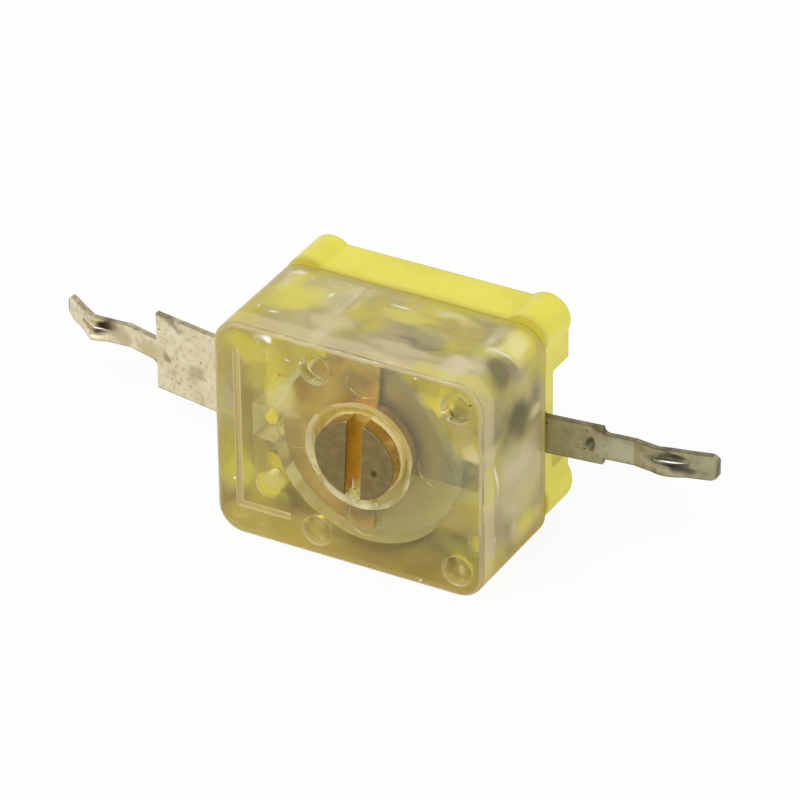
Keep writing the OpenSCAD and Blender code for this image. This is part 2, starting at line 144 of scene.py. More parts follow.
class Wire:
    """The value on one shader socket, on which Python's own operators add the nodes of a sum."""

    def __init__(self, shader: "Shader", socket: bpy.types.NodeSocket) -> None:
        """Wraps an output socket of a shader."""
        self.shader = shader
        self.socket = socket

    def _sum(self, operation: str, first: "Wire | float", second: "Wire | float") -> "Wire":
        """The result of one Math node, or of a Vector Math node if this wire is a vector."""
        kind = "ShaderNodeVectorMath" if self.socket.type == "VECTOR" else "ShaderNodeMath"
        return self.shader.node(kind, {"operation": operation}, {0: first, 1: second})

    def __add__(self, other: "Wire | float") -> "Wire":
        """self + other"""
        return self._sum("ADD", self, other)

    def __radd__(self, other: float) -> "Wire":
        """other + self"""
        return self._sum("ADD", other, self)

    def __sub__(self, other: "Wire | float") -> "Wire":
        """self - other"""
        return self._sum("SUBTRACT", self, other)

    def __rsub__(self, other: float) -> "Wire":
        """other - self"""
        return self._sum("SUBTRACT", other, self)

    def __mul__(self, other: "Wire | float") -> "Wire":
        """self * other"""
        return self._sum("MULTIPLY", self, other)

    def __rmul__(self, other: float) -> "Wire":
        """other * self"""
        return self._sum("MULTIPLY", other, self)

    def __abs__(self) -> "Wire":
        """abs(self)"""
        return self._sum("ABSOLUTE", self, 0.0)

    def either(self, other: "Wire | float") -> "Wire":
        """The larger of two values."""
        return self._sum("MAXIMUM", self, other)

    def between(self, span: Span) -> "Wire":
        """A value that runs from the first to the second of two numbers as this one runs from 0 to 1."""
        return self * (span[1] - span[0]) + span[0]

    def rise(self, start: float, end: float) -> "Wire":
        """A smooth step from 0 to 1, or a falling one where start is past end.

        Args:
            start: Where the step is still 0.
            end: Where it reaches 1.

        Returns:
            The step's value.
        """
        low, high = min(start, end), max(start, end)
        first, last = (0.0, 1.0) if start < end else (1.0, 0.0)
        values = {"Value": self, "From Min": low, "From Max": high, "To Min": first, "To Max": last}
        return self.shader.node("ShaderNodeMapRange", {"interpolation_type": "SMOOTHSTEP"}, values)


class Shader:
    """The node tree of a material or the world, written as Python expressions."""

    warp_mm: float = 1.1
    warp_scale: float = 0.9
    warp_detail: float = 1.5
    spot_fade: Span = (1.15, 0.35)
    speck_core: float = 0.5
    bevel_samples: int = 6

    def __init__(self, owner: bpy.types.ID) -> None:
        """Empties the owner's node tree.

        Args:
            owner: The material or world.
        """
        owner.use_nodes = True
        self.owner = owner
        self.tree = owner.node_tree
        self.tree.nodes.clear()
        self._point: Wire | None = None
        self._warped: Wire | None = None

    def node(
        self,
        kind: str,
        settings: dict[str, object] | None = None,
        values: dict[int | str, object] | None = None,
        out: int | str = 0,
    ) -> Wire:
        """Adds any node.

        Args:
            kind: The node's type.
            settings: Attributes that are set first.
            values: Numbers, colours or wires for the node's sockets, by name or number.
            out: The output that is returned.

        Returns:
            That output.
        """
        made = self.tree.nodes.new(kind)
        for name, value in (settings or {}).items():
            setattr(made, name, value)
        for name, value in (values or {}).items():
            socket = made.inputs[name]
            if isinstance(value, Wire):
                self.tree.links.new(value.socket, socket)
            elif isinstance(value, str):
                socket.default_value = linear(value)
            elif socket.type == "VECTOR" and isinstance(value, (int, float)):
                socket.default_value = (value, value, value)
            else:
                socket.default_value = value
        return Wire(self, made.outputs[out])

    @property
    def point(self) -> Wire:
        """The place on the piece in millimetres, in the part's frame."""
        if self._point is None:
            self._point = self.node("ShaderNodeTexCoord", out="Object") * (1 / MM)
        return self._point

    def axis(self, name: str) -> Wire:
        """The X, Y or Z coordinate of the place in millimetres."""
        return self.node("ShaderNodeSeparateXYZ", values={"Vector": self.point}, out=name)

    def root(self, value: Wire) -> Wire:
        """The square root of a value."""
        return self.node("ShaderNodeMath", {"operation": "SQRT"}, {0: value})

    def from_line(self, x: float = 0.0, z: float = 0.0) -> Wire:
        """The distance in millimetres from the line along Y that passes through x and z."""
        across, up = self.axis("X") - x, self.axis("Z") - z
        return self.root(across * across + up * up)

    def shifted(self, shift: float) -> Wire:
        """The place in millimetres, moved along all three axes so that two patterns differ."""
        values = {"Vector": self.point, "Location": (shift, shift, shift)}
        return self.node("ShaderNodeMapping", values=values)

    def noise(self, scale: float, detail: float = 2.0, shift: float = 0.0) -> Wire:
        """Soft noise from 0 to 1, with so many patches per millimetre and octaves of finer noise."""
        values = {"Vector": self.shifted(shift), "Scale": scale, "Detail": detail}
        return self.node("ShaderNodeTexNoise", values=values)

    def cloudy(self, cloud: Cloud) -> Wire:
        """The mask of a cloud."""
        return self.noise(cloud.scale, cloud.detail, cloud.shift).rise(cloud.start, cloud.end)

    def specked(self, specks: Specks) -> Wire:
        """1 inside small round spots at random places and 0 outside.

        Args:
            specks: The spots.

        Returns:
            The mask.
        """
        values = {"Vector": self.shifted(specks.shift), "Scale": specks.scale}
        far = self.node("ShaderNodeTexVoronoi", values=values, out="Distance")
        return far.rise(specks.size, specks.size * self.speck_core)

    @property
    def warped(self) -> Wire:
        """The place on the piece, pushed about by soft noise so that patches have ragged edges."""
        if self._warped is None:
            values = {"Vector": self.point, "Scale": self.warp_scale, "Detail": self.warp_detail}
            push = self.node("ShaderNodeTexNoise", values=values, out="Color")
            centred = self.node("ShaderNodeVectorMath", {"operation": "SUBTRACT"}, {0: push, 1: 0.5})
            self._warped = self.point + centred * self.warp_mm
        return self._warped

    def spot(self, centre: Point, radii: Point, ragged: bool = True) -> Wire:
        """A soft ellipsoid, 1 at its centre and 0 outside.

        Args:
            centre: Its centre in millimetres.
            radii: Its half widths in millimetres.
            ragged: Whether its edge wanders.

        Returns:
            The mask.
        """
        place = self.node(
            "ShaderNodeMapping",
            {"vector_type": "TEXTURE"},
            {"Vector": self.warped if ragged else self.point, "Location": centre, "Scale": radii},
        )
        far = self.node("ShaderNodeVectorMath", {"operation": "LENGTH"}, {0: place}, out="Value")
        return far.rise(*self.spot_fade)

    def mix(self, share: Wire | float, first: Wire | Colour, second: Wire | Colour) -> Wire:
        """A colour that is the first one at share 0 and the second one at share 1."""
        return self.node("ShaderNodeMix", {"data_type": "RGBA"}, {0: share, 6: first, 7: second}, out=2)

    def patch(self, colour_patch: StainAndLight, ragged: bool = True) -> Wire:
        """The mask of a colour patch, which is its share at its centre."""
        return self.spot(colour_patch.centre, colour_patch.radii, ragged) * colour_patch.share

    def patched(self, colour: Wire, stains_and_light: Iterable[StainAndLight]) -> Wire:
        """A colour with ragged patches, stains and painted light and shade alike, laid on in their order.

        Args:
            colour: The colour.
            stains_and_light: The patches.

        Returns:
            The stained colour.
        """
        for colour_patch in stains_and_light:
            colour = self.mix(self.patch(colour_patch), colour, colour_patch.colour)
        return colour

    def from_core(self, outline: Outline) -> Wire:
        """How far a place lies from the core of a rounded outline: at its edge, its corner radius.

        Args:
            outline: The outline across the part's axis.

        Returns:
            The distance in millimetres.
        """
        mid_x, mid_z = (outline.left + outline.right) / 2, (outline.low + outline.high) / 2
        half_x, half_z = outline.right - mid_x - outline.corner, outline.high - mid_z - outline.corner
        out_x = (abs(self.axis("X") - mid_x) - half_x).either(0.0)
        out_z = (abs(self.axis("Z") - mid_z) - half_z).either(0.0)
        return self.root(out_x * out_x + out_z * out_z)

    def bump(self, height: Wire, distance: float) -> Wire:
        """A normal that follows a height, where a height of 1 is so many millimetres."""
        values = {"Height": height, "Distance": distance * MM, "Strength": 1.0}
        return self.node("ShaderNodeBump", values=values)

    def soft_edges(self, normal: Wire, radius: float) -> Wire:
        """A normal that also rounds the piece's edges by a radius in millimetres."""
        values = {"Radius": radius * MM, "Normal": normal}
        return self.node("ShaderNodeBevel", {"samples": self.bevel_samples}, values)

    def principled(self, **values: object) -> Wire:
        """A Principled shader, with each socket's name in lower case and joined by underscores."""
        names = [key.replace("_", " ").title().replace("Ior", "IOR") for key in values]
        return self.node("ShaderNodeBsdfPrincipled", values=dict(zip(names, values.values())), out="BSDF")

    def rays(self, *kinds: Ray) -> Wire:
        """1 for rays of the given kinds and 0 for others."""
        return reduce(Wire.either, [self.node("ShaderNodeLightPath", out=kind.value) for kind in kinds])

    def layered(self, share: Wire, under: Wire, over: Wire) -> Wire:
        """A surface that is the first one at share 0 and the second one at share 1."""
        return self.node("ShaderNodeMixShader", values={0: share, 1: under, 2: over})

    def surface(self, shader: Wire) -> None:
        """Makes a shader the material's surface."""
        out = self.tree.nodes.new("ShaderNodeOutputMaterial")
        self.tree.links.new(shader.socket, out.inputs["Surface"])

    def coat(self, **values: object) -> None:
        """Makes a Principled shader of these values the material's surface."""
        self.surface(self.principled(**values))


# ---------- finishes ----------


@dataclass(frozen=True)
class Finish:
    """One finish, which makes its material once."""

    name: str

    def dress(self, shader: Shader) -> None:
        """Writes the finish's nodes."""
        raise NotImplementedError

    def material(self) -> bpy.types.Material:
        """The finish's material, made at its first use."""
        full_name = f"{self.name}_finish"
        found = bpy.data.materials.get(full_name)
        if found is None:
            found = bpy.data.materials.new(full_name)
            self.dress(Shader(found))
        return found

    def on(self, *objects: Piece) -> None:
        """Puts the finish on pieces or CAD nodes."""
        for thing in objects:
            thing.data.materials.clear()
            thing.data.materials.append(self.material())


@dataclass(frozen=True)
class Zones:
    """Where on the cover a place lies, each zone as a mask."""

    shell: Wire
    front: Wire
    sides: Wire
    wall: Wire
    rim: Wire
    plain: Wire


@dataclass(frozen=True)
class ClearPlastic(Finish):
    """Clear moulded plastic whose outer sides carry a painted, mottled haze for what shines through them,
    with painted highlights, glints and shade.

    A span along an axis or a radius gives where a soft step starts and where it ends, in millimetres.
    """

    tint: Colour = "FAF8D6"
    through: Colour = "F5F1CC"
    milk: Colour = "D2C592"
    lemon: Colour = "D8CF4E"
    olive: Colour = "A2965A"
    # painted shade: a darker golden haze on the underside
    under: Colour = "BFA238"
    # partly painted light: the paler haze of the front wall's band stands for light carried along the wall
    wall: Colour = "D6C498"
    # painted highlight along the front rim; the groove takes the same pale colour
    rim: Colour = "DCCB9C"
    # painted highlight ring on the countersink round the head
    lip_highlight: Colour = "E6D9AC"
    back: Colour = "B0A040"
    pale: Colour = "CFC690"
    # painted glints
    painted_glint: Colour = "FFFCEE"
    index: float = 1.5
    rough: Span = (0.04, 0.12)
    side_rough: float = 0.24
    haze_rough: float = 0.6
    ripple_mm: float = 0.02
    wide_ripple: Noise = (0.9, 1.0, 0.0)
    fine_ripple: Noise = (3.5, 2.0, 7.0)
    fine_share: float = 0.2
    scuffs: Cloud = Cloud(9.0, 4.0, 3.0, 0.45, 0.75)
    clouds: Cloud = Cloud(0.5, 4.0, 13.0, 0.42, 0.6)
    shade: Cloud = Cloud(0.7, 3.0, 29.0, 0.5, 0.66)
    lip_highlight_clouds: Cloud = Cloud(1.1, 2.0, 41.0, 0.36, 0.62)
    painted_glints: Specks = Specks(0.9, 0.07, 5.0)
    outline: Outline = Outline()
    skin: float = 0.05
    rim_skin: float = 0.1
    back_skin: float = 0.42
    front_y: Span = (0.5, 0.36)
    wall_y: Span = (1.25, 1.0)
    back_y: Span = (4.6, 4.65)
    pit_y: Span = (0.86, 0.4)
    groove_y: Span = (0.5, 0.4)
    under_shade_z: Span = (-2.4, -4.0)
    chamber_edge: Span = (CHAMBER_R - 0.1, CHAMBER_R + 0.2)
    lip_highlight_inner: Span = (BORE_R - 0.1, BORE_R)
    lip_highlight_outer: Span = (1.99, 1.95)
    pit_edge: Span = (0.6, 0.55)
    pit_places: tuple[Place, ...] = ((-1.6, 2.85), (-1.6, -3.35), (3.65, 2.85), (3.65, -3.35))
    groove_x: float = -4.52
    groove_half: float = 0.11
    groove_soft: float = 0.02
    groove_low: float = -3.22
    groove_high: float = 2.8
    groove_foot_end: float = -2.6
    shade_share: float = 0.6
    under_shade_share: float = 0.8
    wall_share: Span = (0.8, 0.4)
    side_haze: Span = (0.36, 0.5)
    wall_haze: float = 0.3
    front_haze: Span = (0.08, 0.28)
    inner_haze: float = 0.02
    rim_highlight_haze: float = 0.45
    lip_highlight_haze: float = 0.8
    pit_haze: float = 0.4
    groove_haze: float = 0.6
    painted_glint_haze: float = 0.8
    back_haze: float = 0.95
    stains_and_light: tuple[StainAndLight, ...] = (
        StainAndLight((-3.7, 2.8, 3.8), (1.7, 1.5, 0.5), "D8CE4A", 0.85),
        # painted highlights on the top
        StainAndLight((-4.43, 4.25, 3.7), (0.3, 0.4, 0.5), "F0ECD8", 0.8),
        StainAndLight((-3.7, 1.6, 3.8), (0.4, 0.14, 0.4), "F6F2E2", 0.85),
        StainAndLight((-1.8, 2.0, 3.8), (1.0, 0.7, 0.4), "D2C69C", 0.7),
        # a painted highlight on the top
        StainAndLight((-2.6, 3.35, 3.8), (0.22, 0.2, 0.4), "F2EEDC", 0.8),
        StainAndLight((-1.2, 4.2, 3.8), (2.4, 0.35, 0.4), "B9AC7C", 0.5),
        StainAndLight((0.4, 3.3, 3.8), (1.7, 0.6, 0.4), "D2C856", 0.8),
        # a painted highlight streak along the top
        StainAndLight((-0.25, 3.73, 3.8), (0.55, 0.07, 0.4), "F8F4E4", 0.95),
        StainAndLight((2.6, 2.8, 3.8), (0.9, 0.5, 0.4), "BDB070", 0.6),
        StainAndLight((1.6, 4.1, 3.8), (1.2, 0.3, 0.4), "DDD6B2", 0.7),
        StainAndLight((1.4, 1.35, 3.8), (2.3, 0.5, 0.4), "CFC098", 0.75),
        StainAndLight((2.6, 3.4, 3.8), (0.7, 0.7, 0.4), "B4A254", 0.7),
        StainAndLight((1.4, 1.95, 3.8), (1.5, 0.2, 0.4), "706A50", 0.85),
        StainAndLight((3.2, 1.55, 3.8), (1.0, 0.6, 0.4), "D8CAA8", 0.8),
        StainAndLight((3.2, 3.9, 3.8), (0.9, 0.7, 0.4), "A89A6C", 0.6),
        StainAndLight((4.6, 2.9, -0.8), (1.1, 2.2, 2.6), "C6BA8C", 0.75),
        StainAndLight((4.05, 3.6, 3.7), (0.7, 1.0, 0.5), "E6E09A", 0.9),
        # a painted highlight on the front end of the top right post
        StainAndLight((4.1, 2.88, 3.7), (0.62, 0.09, 0.5), "F2EACC", 0.9),
        StainAndLight((4.4, 2.1, 3.4), (0.7, 0.8, 0.6), "625C40", 0.9),
        StainAndLight((4.6, 2.7, 1.4), (1.1, 1.7, 1.05), "6E6848", 0.9),
        StainAndLight((4.6, 2.75, 1.45), (1.1, 0.9, 0.65), "5E5838", 0.9),
        StainAndLight((4.6, 2.9, -0.3), (1.1, 1.5, 0.6), "CDC19A", 0.8),
        # a painted highlight streak on the right side near the front
        StainAndLight((4.6, 1.25, 0.0), (0.4, 0.14, 1.3), "EFE8D0", 0.85),
        StainAndLight((4.6, 3.3, -2.75), (1.1, 0.75, 0.6), "CDC452", 0.8),
        StainAndLight((4.3, 0.3, 1.35), (0.5, 0.8, 0.5), "DCD2AC", 0.7),
        StainAndLight((-4.9, 0.3, 0.9), (0.7, 0.8, 1.2), "D6CDA2", 0.45),
        StainAndLight((-2.9, 0.3, 1.3), (0.8, 0.8, 1.0), "D9D1AE", 0.5),
        StainAndLight((-3.2, 0.3, -1.8), (0.55, 0.8, 0.5), "C9BD78", 0.7),
        StainAndLight((-4.0, 0.3, 3.0), (1.3, 0.8, 0.7), "D8C93A", 0.6),
        # painted highlights on the front near the gate mark
        StainAndLight((-3.4, 0.3, 3.5), (0.2, 0.4, 0.19), "FFFFF8", 0.95),
        StainAndLight((-2.65, 0.3, 3.1), (0.16, 0.4, 0.05), "FFFFF8", 0.8),
        StainAndLight((-4.6, 0.3, -1.9), (0.9, 0.8, 1.1), "D6C944", 0.6),
        StainAndLight((-4.5, 0.3, -3.3), (0.9, 0.8, 0.5), "CDBB3E", 0.5),
        # painted highlights in the two lower blind holes
        StainAndLight((-1.7, 0.86, -3.45), (0.5, 0.3, 0.45), "E6E0BE", 0.8),
        StainAndLight((3.6, 0.86, -3.5), (0.5, 0.3, 0.45), "F0EACC", 0.9),
        StainAndLight((3.1, 0.3, 3.0), (1.0, 0.8, 0.6), "DCC638", 0.6),
        StainAndLight((3.9, 0.3, 1.7), (0.6, 0.8, 1.0), "C0AE38", 0.5),
        StainAndLight((3.9, 0.3, -3.0), (0.7, 0.8, 0.8), "D2C236", 0.5),
    )

    def shell_mask(self, shader: Shader, skin: float) -> Wire:
        """1 on the outer top, underside and ends and round their corners, and 0 twice a skin deeper."""
        corner = self.outline.corner
        return shader.from_core(self.outline).rise(corner - 2 * skin, corner - skin)

    def pits(self, shader: Shader) -> Wire:
        """1 in the columns of the blind holes."""
        columns = [shader.from_line(x, z).rise(*self.pit_edge) for x, z in self.pit_places]
        return reduce(Wire.either, columns)

    def groove_mask(self, shader: Shader) -> Wire:
        """1 along the angled groove of the front."""
        x, z, soft, low = shader.axis("X"), shader.axis("Z"), self.groove_soft, self.groove_low
        half = self.groove_half + soft
        leg = abs(x - self.groove_x).rise(half + soft, half) * z.rise(low - soft, low)
        leg = leg * z.rise(self.groove_high + soft, self.groove_high)
        foot = abs(z - (low + self.groove_half)).rise(half + soft, half)
        foot = foot * x.rise(self.groove_x - half, self.groove_x)
        foot = foot * x.rise(self.groove_foot_end + soft, self.groove_foot_end)
        return leg.either(foot)

    def zones(self, shader: Shader) -> Zones:
        """The cover's zones."""
        depth = shader.axis("Y")
        shell = self.shell_mask(shader, self.skin)
        front = depth.rise(*self.front_y)
        sides = shell * (1 - front)
        wall = sides * depth.rise(*self.wall_y)
        rim = self.shell_mask(shader, self.rim_skin) * front
        plain = front * shader.from_line().rise(*self.chamber_edge) * (1 - rim)
        return Zones(shell, front, sides, wall, rim, plain)

    def marks(self, shader: Shader, zones: Zones) -> list[tuple[Wire, Colour, float]]:
        """The fine marks: painted highlights on the front rim and the countersink lip, painted glints,
        pale blind holes, the pale groove and yellow behind the back.

        Args:
            shader: The material's shader.
            zones: The cover's zones.

        Returns:
            For each mark its mask, its colour and its share of haze.
        """
        depth, out = shader.axis("Y"), shader.from_line()
        # painted highlight ring on the countersink, broken up by clouds
        lip_highlight = out.rise(*self.lip_highlight_outer) * out.rise(*self.lip_highlight_inner) * zones.front
        # painted glints in small white specks
        painted_glints = shader.specked(self.painted_glints) * (zones.sides + zones.plain)
        behind = self.shell_mask(shader, self.back_skin) * depth.rise(*self.back_y)
        return [
            # painted highlight along the front rim
            (zones.rim, self.rim, self.rim_highlight_haze),
            (lip_highlight * shader.cloudy(self.lip_highlight_clouds), self.lip_highlight, self.lip_highlight_haze),
            (depth.rise(*self.pit_y) * self.pits(shader), self.pale, self.pit_haze),
            (depth.rise(*self.groove_y) * self.groove_mask(shader), self.rim, self.groove_haze),
            (painted_glints, self.painted_glint, self.painted_glint_haze),
            (behind, self.back, self.back_haze),
        ]

    def haze(self, shader: Shader, zones: Zones) -> tuple[Wire, Wire]:
        """The haze that veils the glass, with its painted highlights, glints and shade.

        Args:
            shader: The material's shader.
            zones: The cover's zones.

        Returns:
            Its colour and its amount.
        """
        clouds = shader.cloudy(self.clouds)
        low = shader.axis("Z").rise(*self.under_shade_z)
        colour = shader.mix(clouds, self.milk, self.lemon)
        colour = shader.mix(shader.cloudy(self.shade) * self.shade_share, colour, self.olive)
        # painted shade: the haze turns darker golden towards the underside
        colour = shader.mix(low * self.under_shade_share, colour, self.under)
        # partly haze and partly painted light carried along the front wall
        colour = shader.mix(zones.wall * clouds.between(self.wall_share), colour, self.wall)
        amount = zones.sides * clouds.between(self.side_haze) + zones.wall * self.wall_haze
        amount = amount + zones.plain * clouds.between(self.front_haze)
        amount = amount + (1 - zones.shell) * self.inner_haze
        for colour_patch in self.stains_and_light:
            spot = shader.patch(colour_patch)
            colour = shader.mix(spot, colour, colour_patch.colour)
            amount = amount.either(spot)
        for mask, tint, share in self.marks(shader, zones):
            colour = shader.mix(mask, colour, tint)
            amount = amount.either(mask * share)
        return colour, amount

    def glass(self, shader: Shader, sides: Wire) -> Wire:
        """Rippled glass, which is rougher on the sides and where it is scuffed.

        Args:
            shader: The material's shader.
            sides: The mask of the sides.

        Returns:
            The surface.
        """
        ripple = shader.noise(*self.wide_ripple) * (1 - self.fine_share)
        ripple = ripple + shader.noise(*self.fine_ripple) * self.fine_share
        return shader.principled(
            base_color=self.tint,
            roughness=shader.cloudy(self.scuffs).between(self.rough) + sides * self.side_rough,
            transmission_weight=1.0,
            ior=self.index,
            normal=shader.bump(ripple, self.ripple_mm),
        )

    def dress(self, shader: Shader) -> None:
        """Glass under its haze, which lets lamp light and diffuse light straight through."""
        zones = self.zones(shader)
        colour, amount = self.haze(shader, zones)
        haze = shader.principled(base_color=colour, roughness=self.haze_rough)
        body = shader.layered(amount, self.glass(shader, zones.sides), haze)
        open_way = shader.node("ShaderNodeBsdfTransparent", values={"Color": self.through})
        shader.surface(shader.layered(shader.rays(Ray.SHADOW, Ray.DIFFUSE), body, open_way))


@dataclass(frozen=True)
class YellowPlastic(Finish):
    """Opaque lemon yellow moulded plastic, a little waxy."""

    colour: Colour = "E6DE48"
    deep: Colour = "D5C83E"
    # painted light: the face behind the clear cover is brighter
    lit_under_cover: Colour = "F0E444"
    # painted shade: a darker yellow band next to the cover
    joint_shade: Colour = "CFC24C"
    clouds: Noise = (0.5, 3.0, 0.0)
    deep_clouds: Span = (0.35, 0.7)
    deep_share: float = 0.5
    joint_shade_y: Span = (5.0, 4.75)
    joint_shade_share: float = 0.7
    lit_under_cover_y: Span = (4.74, 4.72)
    lit_under_cover_edge: Span = (CORNER_R + 0.01, CORNER_R - 0.01)
    rough: Span = (0.32, 0.44)
    grain: Noise = (14.0, 3.0, 5.0)
    grain_mm: float = 0.006
    edge_r: float = 0.1

    def dress(self, shader: Shader) -> None:
        """A satin surface with faint clouds and a fine grain, painted brighter under the cover and painted
        darker in a band beside it.
        """
        clouds, depth = shader.noise(*self.clouds), shader.axis("Y")
        # painted light under the cover
        lit_under_cover = depth.rise(*self.lit_under_cover_y) * shader.from_core(Outline()).rise(*self.lit_under_cover_edge)
        colour = shader.mix(clouds.rise(*self.deep_clouds) * self.deep_share, self.colour, self.deep)
        # painted shade in a band next to the cover
        colour = shader.mix(depth.rise(*self.joint_shade_y) * self.joint_shade_share, colour, self.joint_shade)
        grained = shader.bump(shader.noise(*self.grain), self.grain_mm)
        shader.coat(
            base_color=shader.mix(lit_under_cover, colour, self.lit_under_cover),
            roughness=clouds.between(self.rough),
            normal=shader.soft_edges(grained, self.edge_r),
        )


@dataclass(frozen=True)
class Metal(Finish):
    """A rolled or turned metal with clouds of tarnish and fine specks."""

    bright: Colour
    dull: Colour
    speck: Colour
    rough: float = 0.3
    rougher: float = 0.15
    tarnish: float = 0.5
    clouds: Cloud = Cloud(1.2, 4.0, 2.0, 0.35, 0.7)
    specks: Specks = Specks(3.0, 0.16)
    speck_clouds: Cloud = Cloud(2.0, 2.0, 11.0, 0.5, 0.62)
    speck_share: float = 0.8
    grain: Noise = (18.0, 4.0, 9.0)
    grain_mm: float = 0.004

    def colours(self, shader: Shader) -> Wire:
        """The tarnished colour with its specks."""
        colour = shader.mix(shader.cloudy(self.clouds) * self.tarnish, self.bright, self.dull)
        spots = shader.specked(self.specks) * shader.cloudy(self.speck_clouds)
        return shader.mix(spots * self.speck_share, colour, self.speck)

    def relief(self, shader: Shader) -> Wire:
        """The normal of the grained surface."""
        return shader.bump(shader.noise(*self.grain), self.grain_mm)

    def shine(self, shader: Shader) -> Wire | float:
        """How much of the surface reflects as metal does."""
        return 1.0

    def dress(self, shader: Shader) -> None:
        """Metal whose roughness follows the tarnish."""
        shader.coat(
            base_color=self.colours(shader),
            metallic=self.shine(shader),
            roughness=shader.cloudy(self.clouds) * self.rougher + self.rough,
            normal=self.relief(shader),
        )


@dataclass(frozen=True)
class HeadBrass(Metal):
    """Turned brass whose slotted end face is painted dark for a dark reflection, with a golden slot,
    painted shade on the side in the bore and a painted highlight band.
    """

    # painted dark reflection of the end face
    face_painted_dark: Colour = "7A6A40"
    mottle: Colour = "93825A"
    golden: Colour = "C8A850"
    # painted shade: the head's side in the bore in a warmer, darker brass
    flank_shade: Colour = "D0A868"
    # painted highlight: a pale cream band round the head's side
    highlight_band: Colour = "FFF4DC"
    highlight_band_front: Span = (0.5, 0.6)
    highlight_band_back: Span = (1.2, 1.1)
    highlight_band_side: Span = (1.1, 1.2)
    highlight_band_haze: float = 0.75
    slot_half: Span = (0.36, 0.32)
    slot_end: Span = (0.64, 0.62)
    face_y: Span = (0.09, 0.07)
    flank_shade_y: Span = (1.0, 0.9)
    face_clouds: Cloud = Cloud(3.0, 4.0, 4.0, 0.3, 0.75)
    face_share: float = 0.6
    pit: StainAndLight = StainAndLight((0.766, 0.0, -0.268), (0.14, 0.2, 0.16), "3A3218", 0.8)

    def highlight_band_mask(self, shader: Shader) -> Wire:
        """1 on the painted highlight band round the side of the head."""
        depth = shader.axis("Y")
        band = depth.rise(*self.highlight_band_front) * depth.rise(*self.highlight_band_back)
        return band * shader.from_line().rise(*self.highlight_band_side)

    def shine(self, shader: Shader) -> Wire | float:
        """Metal all over but for the painted highlight band."""
        return 1 - self.highlight_band_mask(shader) * self.highlight_band_haze

    def colours(self, shader: Shader) -> Wire:
        """Painted dark on the end face for a dark reflection, brass round the side with painted shade and
        a painted highlight band, and golden inside the slot.
        """
        depth = shader.axis("Y")
        face = depth.rise(*self.face_y)
        mottled = shader.mix(shader.cloudy(self.face_clouds) * self.face_share, self.face_painted_dark, self.mottle)
        mottled = shader.mix(shader.patch(self.pit, ragged=False), mottled, self.pit.colour)
        # painted shade on the head's side in the bore
        base = shader.mix(depth.rise(*self.flank_shade_y), super().colours(shader), self.flank_shade)
        # painted highlight band
        base = shader.mix(self.highlight_band_mask(shader), base, self.highlight_band)
        base = shader.mix(face, base, mottled)
        across = abs(shader.axis("X")).rise(*self.slot_half)
        return shader.mix(across * depth.rise(*self.slot_end) * (1 - face), base, self.golden)


@dataclass(frozen=True)
class TinnedTag(Metal):
    """Mottled tinned sheet with dark cut edges, stains, a dented slit in the pin and painted shade in and
    round the slit.
    """

    side: float = 1.0
    mid_z: float = 0.0
    blade_half: float = 0.7
    pin_half: float = 0.47
    shoulder: float = 6.6
    shoulder_soft: float = 0.02
    tip: float = 10.6
    tip_edge: Span = (0.14, 0.03)
    cut_edge: Span = (-0.05, -0.01)
    edge: Colour = "6A5A3C"
    edge_clouds: Cloud = Cloud(4.0, 3.0, 23.0, 0.35, 0.6)
    edge_depth: Span = (0.65, 1.0)
    edge_share: float = 0.65
    mottle: Colour = "B4A67E"
    mottles: tuple[tuple[Cloud, float], ...] = (
        (Cloud(5.0, 4.0, 31.0, 0.5, 0.68), 0.5),
        (Cloud(1.3, 3.0, 37.0, 0.55, 0.7), 0.2),
    )
    coarse: Specks = Specks(2.2, 0.13, 3.0)
    coarse_share: float = 0.6
    slit_inset: float = 1.6
    slit_y: float = 5.2
    dent_l: float = 1.0
    dent_reach: float = 9.0
    dent_w: float = 0.8
    dent_mm: float = 0.12
    waves: Noise = (1.6, 2.0, 19.0)
    wave_share: float = 0.25
    grain_share: float = 0.04
    stains_and_light: tuple[StainAndLight, ...] = ()

    def edge_mask(self, shader: Shader) -> Wire:
        """1 along the cut edges and round the tip."""
        along, soft = shader.axis("X") * self.side, self.shoulder_soft
        narrow = along.rise(self.shoulder - soft, self.shoulder + soft)
        narrow = narrow * (self.blade_half - self.pin_half)
        inset = abs(shader.axis("Z") - self.mid_z) + narrow - self.blade_half
        end = along.rise(self.tip - self.tip_edge[0], self.tip - self.tip_edge[1])
        rim = inset.rise(*self.cut_edge).either(end)
        return rim * shader.cloudy(self.edge_clouds).between(self.edge_depth)

    def colours(self, shader: Shader) -> Wire:
        """The mottled tin with its stains, painted shade round the slit and dark edges."""
        colour = super().colours(shader)
        for clouds, share in self.mottles:
            colour = shader.mix(shader.cloudy(clouds) * share, colour, self.mottle)
        colour = shader.mix(shader.specked(self.coarse) * self.coarse_share, colour, self.speck)
        colour = shader.patched(colour, self.stains_and_light)
        return shader.mix(self.edge_mask(shader) * self.edge_share, colour, self.edge)

    def relief(self, shader: Shader) -> Wire:
        """Grain, waves and the dent round the slit."""
        slit = (self.side * (self.tip - self.slit_inset), self.slit_y, self.mid_z)
        radii = (self.dent_l, self.dent_reach, self.pin_half * self.dent_w)
        waves = shader.noise(*self.waves) * self.wave_share + shader.noise(*self.grain) * self.grain_share
        return shader.bump(waves - shader.spot(slit, radii, ragged=False), self.dent_mm)


